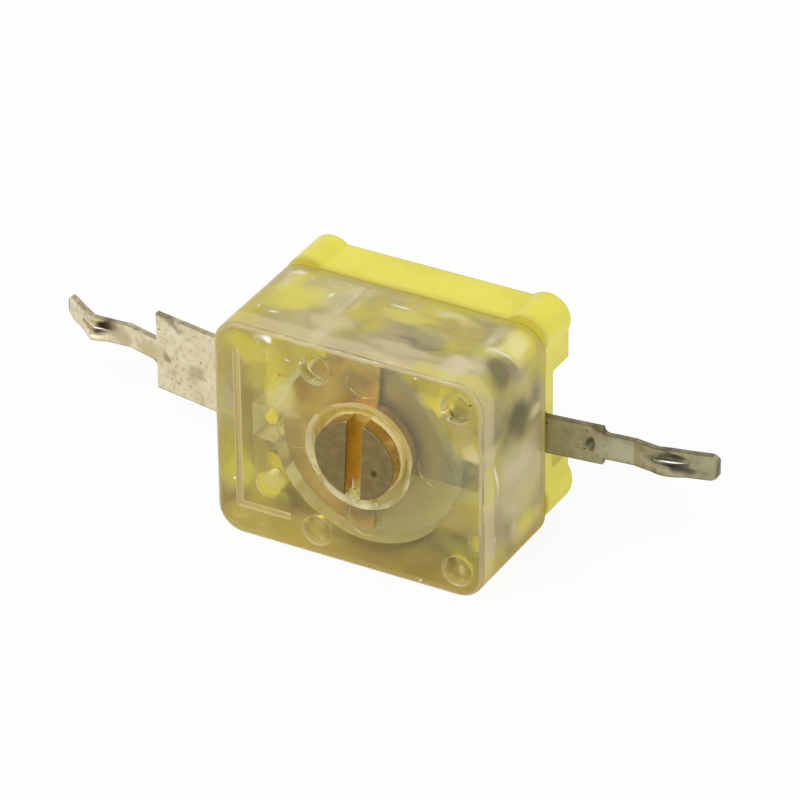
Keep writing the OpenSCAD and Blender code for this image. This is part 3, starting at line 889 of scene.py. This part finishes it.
@dataclass(frozen=True)
class VaneBrass(Metal):
    """Sheet brass with brown and grey stains near its edges."""

    stains_and_light: tuple[StainAndLight, ...] = (
        StainAndLight((-0.5, 1.5, -2.8), (0.9, 4.0, 0.6), "7A5A2C", 0.6),
        StainAndLight((0.1, 1.5, -2.4), (0.4, 4.0, 0.5), "6A6450", 0.6),
        StainAndLight((-0.6, 1.5, 2.3), (0.7, 4.0, 0.5), "8A6E38", 0.5),
        StainAndLight((-2.9, 1.5, -0.6), (0.5, 4.0, 1.2), "9C8C50", 0.5),
    )

    def colours(self, shader: Shader) -> Wire:
        """The sheet's colour with its stains."""
        return shader.patched(super().colours(shader), self.stains_and_light)


@dataclass(frozen=True)
class StatorMetal(Metal):
    """Sheet metal that is brownish near the axis and slate grey at its rim."""

    slate: Colour = "6C6F68"
    slate_r: Span = (2.35, 2.9)
    slate_noise: Noise = (0.8, 2.0, 17.0)
    slate_wander: float = 0.5

    def colours(self, shader: Shader) -> Wire:
        """The sheet's colour, which turns grey outwards with a wandering edge."""
        wander = shader.noise(*self.slate_noise) * self.slate_wander
        out = shader.from_line() + wander - self.slate_wander / 2
        return shader.mix(out.rise(*self.slate_r), super().colours(shader), self.slate)


@dataclass(frozen=True)
class ThinFilm(Finish):
    """A clear plastic film that veils what lies behind it."""

    colour: Colour = "D8D2B8"
    rough: float = 0.25
    veil: Span = (0.1, 0.16)
    clouds: Noise = (0.8, 2.0, 0.0)
    waves: Noise = (1.5, 1.0, 3.0)
    wave_mm: float = 0.01

    def dress(self, shader: Shader) -> None:
        """A thin veil whose density varies a little."""
        shader.coat(
            base_color=self.colour,
            roughness=self.rough,
            alpha=shader.noise(*self.clouds).between(self.veil),
            normal=shader.bump(shader.noise(*self.waves), self.wave_mm),
        )


@dataclass(frozen=True)
class Finishes:
    """All finishes of the part."""

    clear: Finish = ClearPlastic("clear_plastic")
    yellow: Finish = YellowPlastic("yellow_plastic")
    head: Finish = HeadBrass("head_brass", "D9B67A", "A07C48", "4A3C20", 0.22)
    brass: Finish = Metal("turned_brass", "D9B070", "A98550", "4A3C20")
    vane: Finish = VaneBrass("vane_brass", "D4B65A", "B0933B", "5E4526", 0.45)
    stator: Finish = StatorMetal("stator_metal", "9E8A5E", "7C6C47", "403E30", 0.35)
    steel: Finish = Metal("plated_steel", "6A654E", "4E4A38", "2E2C22")
    bronze: Finish = Metal("spring_bronze", "C08A5A", "8E6038", "4A3020")
    left_tin: Finish = TinnedTag(
        *("left_tin", "E8DDBC", "CFC29C", "5A4C30", 0.32),
        side=-1.0,
        mid_z=-1.84,
        blade_half=1.475,
        pin_half=0.42,
        shoulder=10.9,
        tip=15.2,
        stains_and_light=(
            # partly a stain and partly painted shade: dark brown inside the slit
            StainAndLight((-13.2, 6.0, -1.8), (0.5, 9.0, 0.25), "4A3020", 0.95),
            StainAndLight((-12.6, 6.0, -1.9), (0.6, 9.0, 0.4), "9A8860", 0.5),
            StainAndLight((-10.55, 5.6, -1.85), (0.28, 9.0, 0.2), "7E6C3C", 0.7),
            StainAndLight((-11.3, 5.6, -1.9), (0.7, 9.0, 0.5), "C4B280", 0.7),
            StainAndLight((-10.4, 5.6, -0.45), (0.8, 9.0, 0.2), "6E5C3A", 0.6),
            StainAndLight((-9.1, 5.3, -2.2), (0.4, 9.0, 0.3), "9A8C5E", 0.5),
        ),
    )
    right_tin: Finish = TinnedTag(
        *("right_tin", "AAA382", "8E8762", "2E2A1E", 0.3),
        mid_z=-0.2,
        edge="4A4028",
        mottle="7E7856",
        stains_and_light=(
            StainAndLight((6.2, 5.0, -0.06), (0.22, 9.0, 0.13), "40382A", 0.85),
            StainAndLight((6.36, 5.0, -0.2), (0.14, 9.0, 0.16), "4C4432", 0.75),
            StainAndLight((6.5, 5.0, 0.4), (0.35, 9.0, 0.15), "4A3C28", 0.6),
            StainAndLight((7.4, 5.0, -0.25), (0.8, 9.0, 0.45), "BDB99C", 0.6),
            # painted shade of the dent round the slit
            StainAndLight((8.7, 5.0, -0.22), (0.55, 9.0, 0.2), "46443A", 0.85),
            StainAndLight((9.2, 5.0, -0.3), (0.6, 9.0, 0.22), "34322A", 0.9),
            StainAndLight((8.85, 5.0, 0.22), (0.26, 9.0, 0.14), "5E5038", 0.7),
            StainAndLight((10.1, 5.0, -0.1), (0.4, 9.0, 0.35), "A8A484", 0.6),
        ),
    )
    film: Finish = ThinFilm("thin_film")


# ---------- shaping ----------


def to_piece(name: str, shape: Shape) -> Piece:
    """Makes an object in the scene from a mesh in the making.

    Args:
        name: The object's name.
        shape: The mesh in millimetres, which is freed.

    Returns:
        The object, still in millimetres.
    """
    mesh = bpy.data.meshes.new(name)
    shape.to_mesh(mesh)
    shape.free()
    made = bpy.data.objects.new(name, mesh)
    bpy.context.scene.collection.objects.link(made)
    return made


def box_shape(low: Point, high: Point) -> Shape:
    """A block between two corners.

    Args:
        low: The lowest corner.
        high: The highest corner.

    Returns:
        The block.
    """
    shape = bmesh.new()
    bmesh.ops.create_cube(shape, size=1.0)
    size = [b - a for a, b in zip(low, high)]
    centre = [(a + b) / 2 for a, b in zip(low, high)]
    bmesh.ops.scale(shape, vec=size, verts=shape.verts)
    bmesh.ops.translate(shape, vec=centre, verts=shape.verts)
    return shape


def close(shape: Shape) -> None:
    """Merges vertices that meet and turns the faces outwards."""
    bmesh.ops.remove_doubles(shape, verts=shape.verts, dist=MERGE)
    bmesh.ops.recalc_face_normals(shape, faces=shape.faces)


def turned(name: str, profile: Sequence[Place], steps: int, x: float = 0.0, z: float = 0.0) -> Piece:
    """A solid turned about a line along Y.

    Args:
        name: The object's name.
        profile: (radius, y) points from one end of the line to the other.
        steps: Steps round.
        x: The line's place along X.
        z: The line's place along Z.

    Returns:
        The solid, with its normals outwards.
    """
    shape = bmesh.new()
    points = [shape.verts.new((x + r, y, z)) for r, y in profile]
    edges = [shape.edges.new(pair) for pair in zip(points, points[1:])]
    bmesh.ops.spin(
        shape,
        geom=[*points, *edges],
        cent=(x, 0, z),
        axis=(0, 1, 0),
        angle=math.tau,
        steps=steps,
        use_merge=True,
    )
    close(shape)
    return to_piece(name, shape)


def drum(name: str, top: float, end: float, r: float, steps: int, x: float = 0.0, z: float = 0.0) -> Piece:
    """A round cutter from top to end along Y, turned about the line through x and z."""
    return turned(name, [(0, top), (r, top), (r, end), (0, end)], steps, x, z)


def round_edges(
    shape: Shape, edges: Iterable[bmesh.types.BMEdge], radius: float, segments: int
) -> None:
    """Rounds edges of a mesh by a radius, with so many faces across."""
    bmesh.ops.bevel(
        shape,
        geom=list(edges),
        affect="EDGES",
        offset=radius,
        segments=segments,
        profile=0.5,
        material=-1,
        clamp_overlap=True,
    )


def carve(body: Piece, cutters: Iterable[Piece]) -> None:
    """Cuts solids out of a body and removes them.

    Args:
        body: The body.
        cutters: The solids.
    """
    cutters = list(cutters)
    for cutter in cutters:
        step = body.modifiers.new(cutter.name, "BOOLEAN")
        step.operation = "DIFFERENCE"
        step.solver = "EXACT"
        step.object = cutter
    depsgraph = bpy.context.evaluated_depsgraph_get()
    cut_mesh = bpy.data.meshes.new_from_object(body.evaluated_get(depsgraph))
    body.modifiers.clear()
    body.data = cut_mesh
    for cutter in cutters:
        bpy.data.objects.remove(cutter)


def settle(piece: Piece) -> None:
    """Scales a finished mesh to metres and shades it smooth with crisp edges.

    Args:
        piece: The piece, whose mesh is in millimetres.
    """
    piece.data.transform(Matrix.Scale(MM, 4))
    piece.data.polygons.foreach_set("use_smooth", [True] * len(piece.data.polygons))
    piece.data.set_sharp_from_angle(angle=SHARP)


def corners(node: str) -> tuple[Vector, Vector]:
    """A CAD node's lowest and highest corner in millimetres."""
    low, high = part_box(node)
    return low / MM, high / MM


# ---------- pieces ----------


@dataclass
class Cover:
    """The clear cover with its vane chamber, bore, blind holes and groove."""

    corner_r: float = CORNER_R
    corner_steps: int = 14
    edge_r: float = 0.16
    edge_steps: int = 4
    back_gap: float = 0.012
    front_wall: float = 0.8
    chamber_r: float = CHAMBER_R
    chamber_steps: int = 128
    bore_r: float = BORE_R
    bore_steps: int = 96
    countersink_w: float = 0.4
    countersink_depth: float = 0.25
    lip_r: float = 0.03
    lip_drop: float = 0.003
    hole_steps: int = 40
    blind_r: float = 0.52
    blind_flare: float = 0.04
    blind_flare_depth: float = 0.05
    blind_depth: float = 0.5
    blind_dish: float = 0.12
    blind_turns: tuple[float, ...] = (0.0, 0.4, 0.8, 1.2)
    blind_xs: tuple[float, float] = (-1.6, 3.65)
    blind_inset: float = 0.95
    groove_w: float = 0.22
    groove_depth: float = 0.12
    groove_inset: float = 0.88
    groove_foot_inset: float = 1.08
    groove_top_inset: float = 1.0
    groove_foot_l: float = 1.9
    gate_r: float = 0.26
    gate_place: tuple[float, float] = (-3.35, 3.24)
    arm_place: tuple[float, float, float] = (4.21, -0.85, 0.75)
    tab_place: tuple[float, float] = (-4.22, 0.65)
    pocket_l: float = 2.0
    ejector_r: float = 0.62
    ejector_ring_r: float = 2.65
    ejector_depth: float = 0.06
    ejector_steps: int = 48
    post_hole_r: float = 0.48
    post_hole_l: float = 1.4
    post_inset: float = 1.0
    cut: float = 1.0
    low: Vector = field(default_factory=Vector)
    high: Vector = field(default_factory=Vector)

    def __post_init__(self) -> None:
        """Takes the cover's place from the frame."""
        self.low, self.high = corners("cover")

    def block(self) -> Piece:
        """The block with its round corners and soft front rim."""
        front, back = self.low.y, self.high.y
        shape = box_shape(tuple(self.low), (self.high.x, back - self.back_gap, self.high.z))
        upright = [e for e in shape.edges if abs(e.verts[0].co.y - e.verts[1].co.y) > self.edge_r]
        round_edges(shape, upright, self.corner_r, self.corner_steps)
        rim = [e for e in shape.edges if all(abs(v.co.y - front) < self.edge_r / 2 for v in e.verts)]
        round_edges(shape, rim, self.edge_r, self.edge_steps)
        return to_piece("clear_cover", shape)

    def bore(self) -> Piece:
        """The countersunk bore for the head."""
        front, wall = self.low.y, self.low.y + self.front_wall
        wide = self.bore_r + self.countersink_w
        profile = [
            (0, front - self.cut),
            (wide + self.lip_r, front - self.cut),
            (wide + self.lip_r, front - self.lip_drop),
            (wide, front + self.lip_r),
            (self.bore_r + self.lip_r, front + self.countersink_depth),
            (self.bore_r, front + self.countersink_depth + self.lip_r),
            (self.bore_r, wall + self.cut),
            (0, wall + self.cut),
        ]
        return turned("bore", profile, self.bore_steps)

    def chamber(self) -> Piece:
        """The round chamber, open at the back."""
        wall, back = self.low.y + self.front_wall, self.high.y + self.cut
        return drum("chamber", wall, back, self.chamber_r, self.chamber_steps)

    def pockets(self) -> list[Piece]:
        """The chamber's pockets for the stator's arm and for the films' tabs."""
        wall, back = self.low.y + self.front_wall, self.high.y + self.cut
        arm_x, arm_low, arm_high = self.arm_place
        tab_x, tab_half = self.tab_place
        arm = box_shape((arm_x - self.pocket_l, wall, arm_low), (arm_x, back, arm_high))
        tab = box_shape((tab_x, wall, -tab_half), (tab_x + self.pocket_l, back, tab_half))
        return [to_piece("arm_pocket", arm), to_piece("tab_pocket", tab)]

    def blind_hole(self, x: float, z: float) -> Piece:
        """One blind hole with a dished floor.

        Args:
            x: Its place along X.
            z: Its place along Z.

        Returns:
            The cutter.
        """
        front, r = self.low.y, self.blind_r
        wide, floor = r + self.blind_flare, front + self.blind_depth
        profile = [(0, front - self.cut), (wide, front - self.cut), (wide, front)]
        profile.append((r, front + self.blind_flare_depth))
        for turn in self.blind_turns:
            profile.append((r * math.cos(turn), floor - self.blind_dish * (1 - math.sin(turn))))
        profile.append((0, floor))
        return turned("blind_hole", profile, self.hole_steps, x, z)

    def post_hole(self, x: float, z: float) -> Piece:
        """One hole in the back for a post of the base."""
        top, back = self.high.y - self.post_hole_l, self.high.y + self.cut
        return drum("post_hole", top, back, self.post_hole_r, self.hole_steps, x, z)

    def groove(self) -> Piece:
        """The angled groove in the front."""
        x = self.low.x + self.groove_inset
        foot_z = self.low.z + self.groove_foot_inset
        half, front, floor = self.groove_w / 2, self.low.y - self.cut, self.low.y + self.groove_depth
        top_z, bend_z = self.high.z - self.groove_top_inset, foot_z + self.groove_w
        shape = box_shape((x - half, front, foot_z), (x + half, floor, top_z))
        bmesh.ops.bisect_plane(
            shape,
            geom=[*shape.verts, *shape.edges, *shape.faces],
            plane_co=(0, 0, bend_z),
            plane_no=(0, 0, 1),
        )
        right = [f for f in shape.faces if f.normal.x > 0.9]
        side = [f for f in right if f.calc_center_median().z < bend_z]
        foot = bmesh.ops.extrude_discrete_faces(shape, faces=side)["faces"]
        ends = list({v for f in foot for v in f.verts})
        bmesh.ops.translate(shape, vec=(self.groove_foot_l - half, 0, 0), verts=ends)
        close(shape)
        return to_piece("groove", shape)

    def gate_mark(self) -> Piece:
        """The round mark of the mould's gate."""
        shape = bmesh.new()
        bmesh.ops.create_icosphere(shape, subdivisions=3, radius=self.gate_r)
        x, z = self.gate_place
        bmesh.ops.translate(shape, vec=(x, self.low.y - self.gate_r / 2, z), verts=shape.verts)
        return to_piece("gate_mark", shape)

    def ejector_mark(self, turn: float) -> Piece:
        """One shallow round mark inside the front wall.

        Args:
            turn: Its direction from the axis in radians, from +X towards +Z.

        Returns:
            The cutter.
        """
        wall, ring = self.low.y + self.front_wall, self.ejector_ring_r
        top, end = wall - self.ejector_depth, wall + self.cut
        x, z = ring * math.cos(turn), ring * math.sin(turn)
        return drum("ejector_mark", top, end, self.ejector_r, self.ejector_steps, x, z)

    def build(self) -> Piece:
        """The whole cover, which stands for its CAD node."""
        cover = self.block()
        inset = self.post_inset
        cutters = [self.chamber(), *self.pockets(), self.bore(), self.groove(), self.gate_mark()]
        for z in (self.low.z + self.blind_inset, self.high.z - self.blind_inset):
            cutters += [self.blind_hole(x, z) for x in self.blind_xs]
        for x in (self.low.x + inset, self.high.x - inset):
            cutters += [self.post_hole(x, z) for z in (self.low.z + inset, self.high.z - inset)]
        cutters += [self.ejector_mark(quarter * math.pi / 2) for quarter in range(4)]
        carve(cover, cutters)
        settle(cover)
        return cover

    def dress(self, finishes: Finishes) -> None:
        """Builds the cover and gives it its clear finish.

        Args:
            finishes: The part's finishes.
        """
        cover = self.build()
        finishes.clear.on(cover)
        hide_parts("cover")
        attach(cover, "housing")
        log.info("cover: %d faces", len(cover.data.polygons))


@dataclass
class Works:
    """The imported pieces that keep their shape, by the finish they take and the start of their names."""

    plain: dict[str, tuple[str, ...]] = field(
        default_factory=lambda: {
            "yellow": ("base",),
            "head": ("rotor_shaft",),
            "brass": ("clamp_collar", "rotor_spacer"),
            "vane": ("rotor_vane",),
            "stator": ("stator_vane",),
            "steel": ("retaining_ring", "stator_rivets", "stator_spacer", "stator_foot_spacer"),
            "bronze": ("spring_washer",),
            "left_tin": ("rotor_terminal",),
            "right_tin": ("stator_terminal",),
            "film": ("film",),
        }
    )

    def dress(self, finishes: Finishes) -> None:
        """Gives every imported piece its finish.

        Args:
            finishes: The part's finishes.
        """
        for finish_name, starts in self.plain.items():
            nodes = [o for name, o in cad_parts.items() if name.startswith(starts)]
            getattr(finishes, finish_name).on(*nodes)
            log.info("%s: %d pieces", finish_name, len(nodes))


# ---------- stage ----------


@dataclass(frozen=True)
class Lamp:
    """A square soft lamp that faces the part: its place and its side in millimetres.

    Its level is how bright it makes a white surface that faces it.
    """

    name: str
    place: Point
    side: float
    level: float

    def build(self) -> None:
        """Makes the lamp."""
        at = Vector(self.place) * MM
        data = bpy.data.lights.new(self.name, "AREA")
        data.size = self.side * MM
        data.energy = self.level * math.pi**2 * at.length_squared
        lamp = bpy.data.objects.new(self.name, data)
        lamp.location = at
        lamp.rotation_euler = (-at).to_track_quat("-Z", "Y").to_euler()
        bpy.context.scene.collection.objects.link(lamp)


@dataclass
class Stage:
    """The white floor, the world and the lamps."""

    floor_half: float = 900.0
    under: float = -4.31
    paper: Colour = "F8F8F8"
    white: Colour = "FFFFFF"
    white_share: float = 0.9
    mirrored_share: float = 0.2
    world_level: float = 0.62
    lamps: tuple[Lamp, ...] = (
        Lamp("key_lamp", (-90, -120, 220), 160, 0.42),
        Lamp("side_lamp", (220, -60, 90), 120, 0.2),
    )

    def floor(self) -> None:
        """A white floor that keeps a faint shadow."""
        shape = bmesh.new()
        bmesh.ops.create_grid(shape, x_segments=2, y_segments=2, size=self.floor_half)
        bmesh.ops.translate(shape, vec=(0, 0, self.under), verts=shape.verts)
        floor = to_piece("floor", shape)
        floor.data.transform(Matrix.Scale(MM, 4))
        shader = Shader(bpy.data.materials.new("white_floor"))
        paper = shader.node("ShaderNodeBsdfDiffuse", values={"Color": self.paper})
        glow = shader.node("ShaderNodeEmission", values={"Color": self.white, "Strength": 1.0})
        mirrored = shader.rays(Ray.GLOSSY, Ray.TRANSMISSION) * self.mirrored_share
        share = (shader.rays(Ray.CAMERA) * self.white_share).either(mirrored)
        shader.surface(shader.layered(share, paper, glow))
        floor.data.materials.append(shader.owner)

    def world(self) -> None:
        """An even grey sky that looks white when it is seen straight, in metal or through glass."""
        world = bpy.data.worlds.new("studio")
        bpy.context.scene.world = world
        shader = Shader(world)
        seen = shader.rays(Ray.CAMERA, Ray.GLOSSY, Ray.TRANSMISSION)
        level = seen.between((self.world_level, 1.0))
        sky = shader.node("ShaderNodeBackground", values={"Color": self.white, "Strength": level})
        out = shader.tree.nodes.new("ShaderNodeOutputWorld")
        shader.tree.links.new(sky.socket, out.inputs["Surface"])

    def build(self) -> None:
        """Floor, world and lamps."""
        self.floor()
        self.world()
        for lamp in self.lamps:
            lamp.build()
        log.info("stage: floor, world and %d lamps", len(self.lamps))


@dataclass
class Viewpoint:
    """The camera: a long lens that looks down at the slotted side."""

    aim: Point = (-0.136, 3.410, 0.459)
    distance: float = 195.16
    yaw: float = 29.27521
    pitch: float = 31.46719
    roll: float = -0.71490
    lens: float = 266.449
    sensor: float = 36.0
    clip: Span = (0.01, 5.0)

    def build(self) -> None:
        """Makes the camera and makes it the scene's own."""
        data = bpy.data.cameras.new("camera")
        data.lens = self.lens
        data.sensor_width = self.sensor
        data.clip_start, data.clip_end = self.clip
        yaw, pitch = math.radians(self.yaw), math.radians(self.pitch)
        flat = math.cos(pitch)
        ahead = Vector((-math.sin(yaw) * flat, math.cos(yaw) * flat, -math.sin(pitch)))
        level = Vector((math.cos(yaw), math.sin(yaw), 0))
        above = level.cross(ahead)
        turn = Matrix.Rotation(-math.radians(self.roll), 3, ahead)
        right, up = turn @ level, turn @ above
        camera = bpy.data.objects.new("camera", data)
        pose = Matrix((right, up, -ahead)).transposed().to_4x4()
        pose.translation = (Vector(self.aim) - ahead * self.distance) * MM
        camera.matrix_world = pose
        bpy.context.scene.collection.objects.link(camera)
        bpy.context.scene.camera = camera
        log.info("camera at %.0f mm", self.distance)


def main() -> None:
    """Builds the camera, the stage and every piece in order."""
    logging.basicConfig(level=logging.INFO, format="%(name)s %(message)s")
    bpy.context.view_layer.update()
    scene = bpy.context.scene
    scene.view_settings.view_transform = "Standard"
    scene.cycles.transparent_max_bounces = CLEAR_BOUNCES
    scene.cycles.transmission_bounces = BOUNCES
    scene.cycles.max_bounces = BOUNCES
    Viewpoint().build()
    Stage().build()
    finishes = Finishes()
    Works().dress(finishes)
    Cover().dress(finishes)


if __name__ == "__main__":
    main()
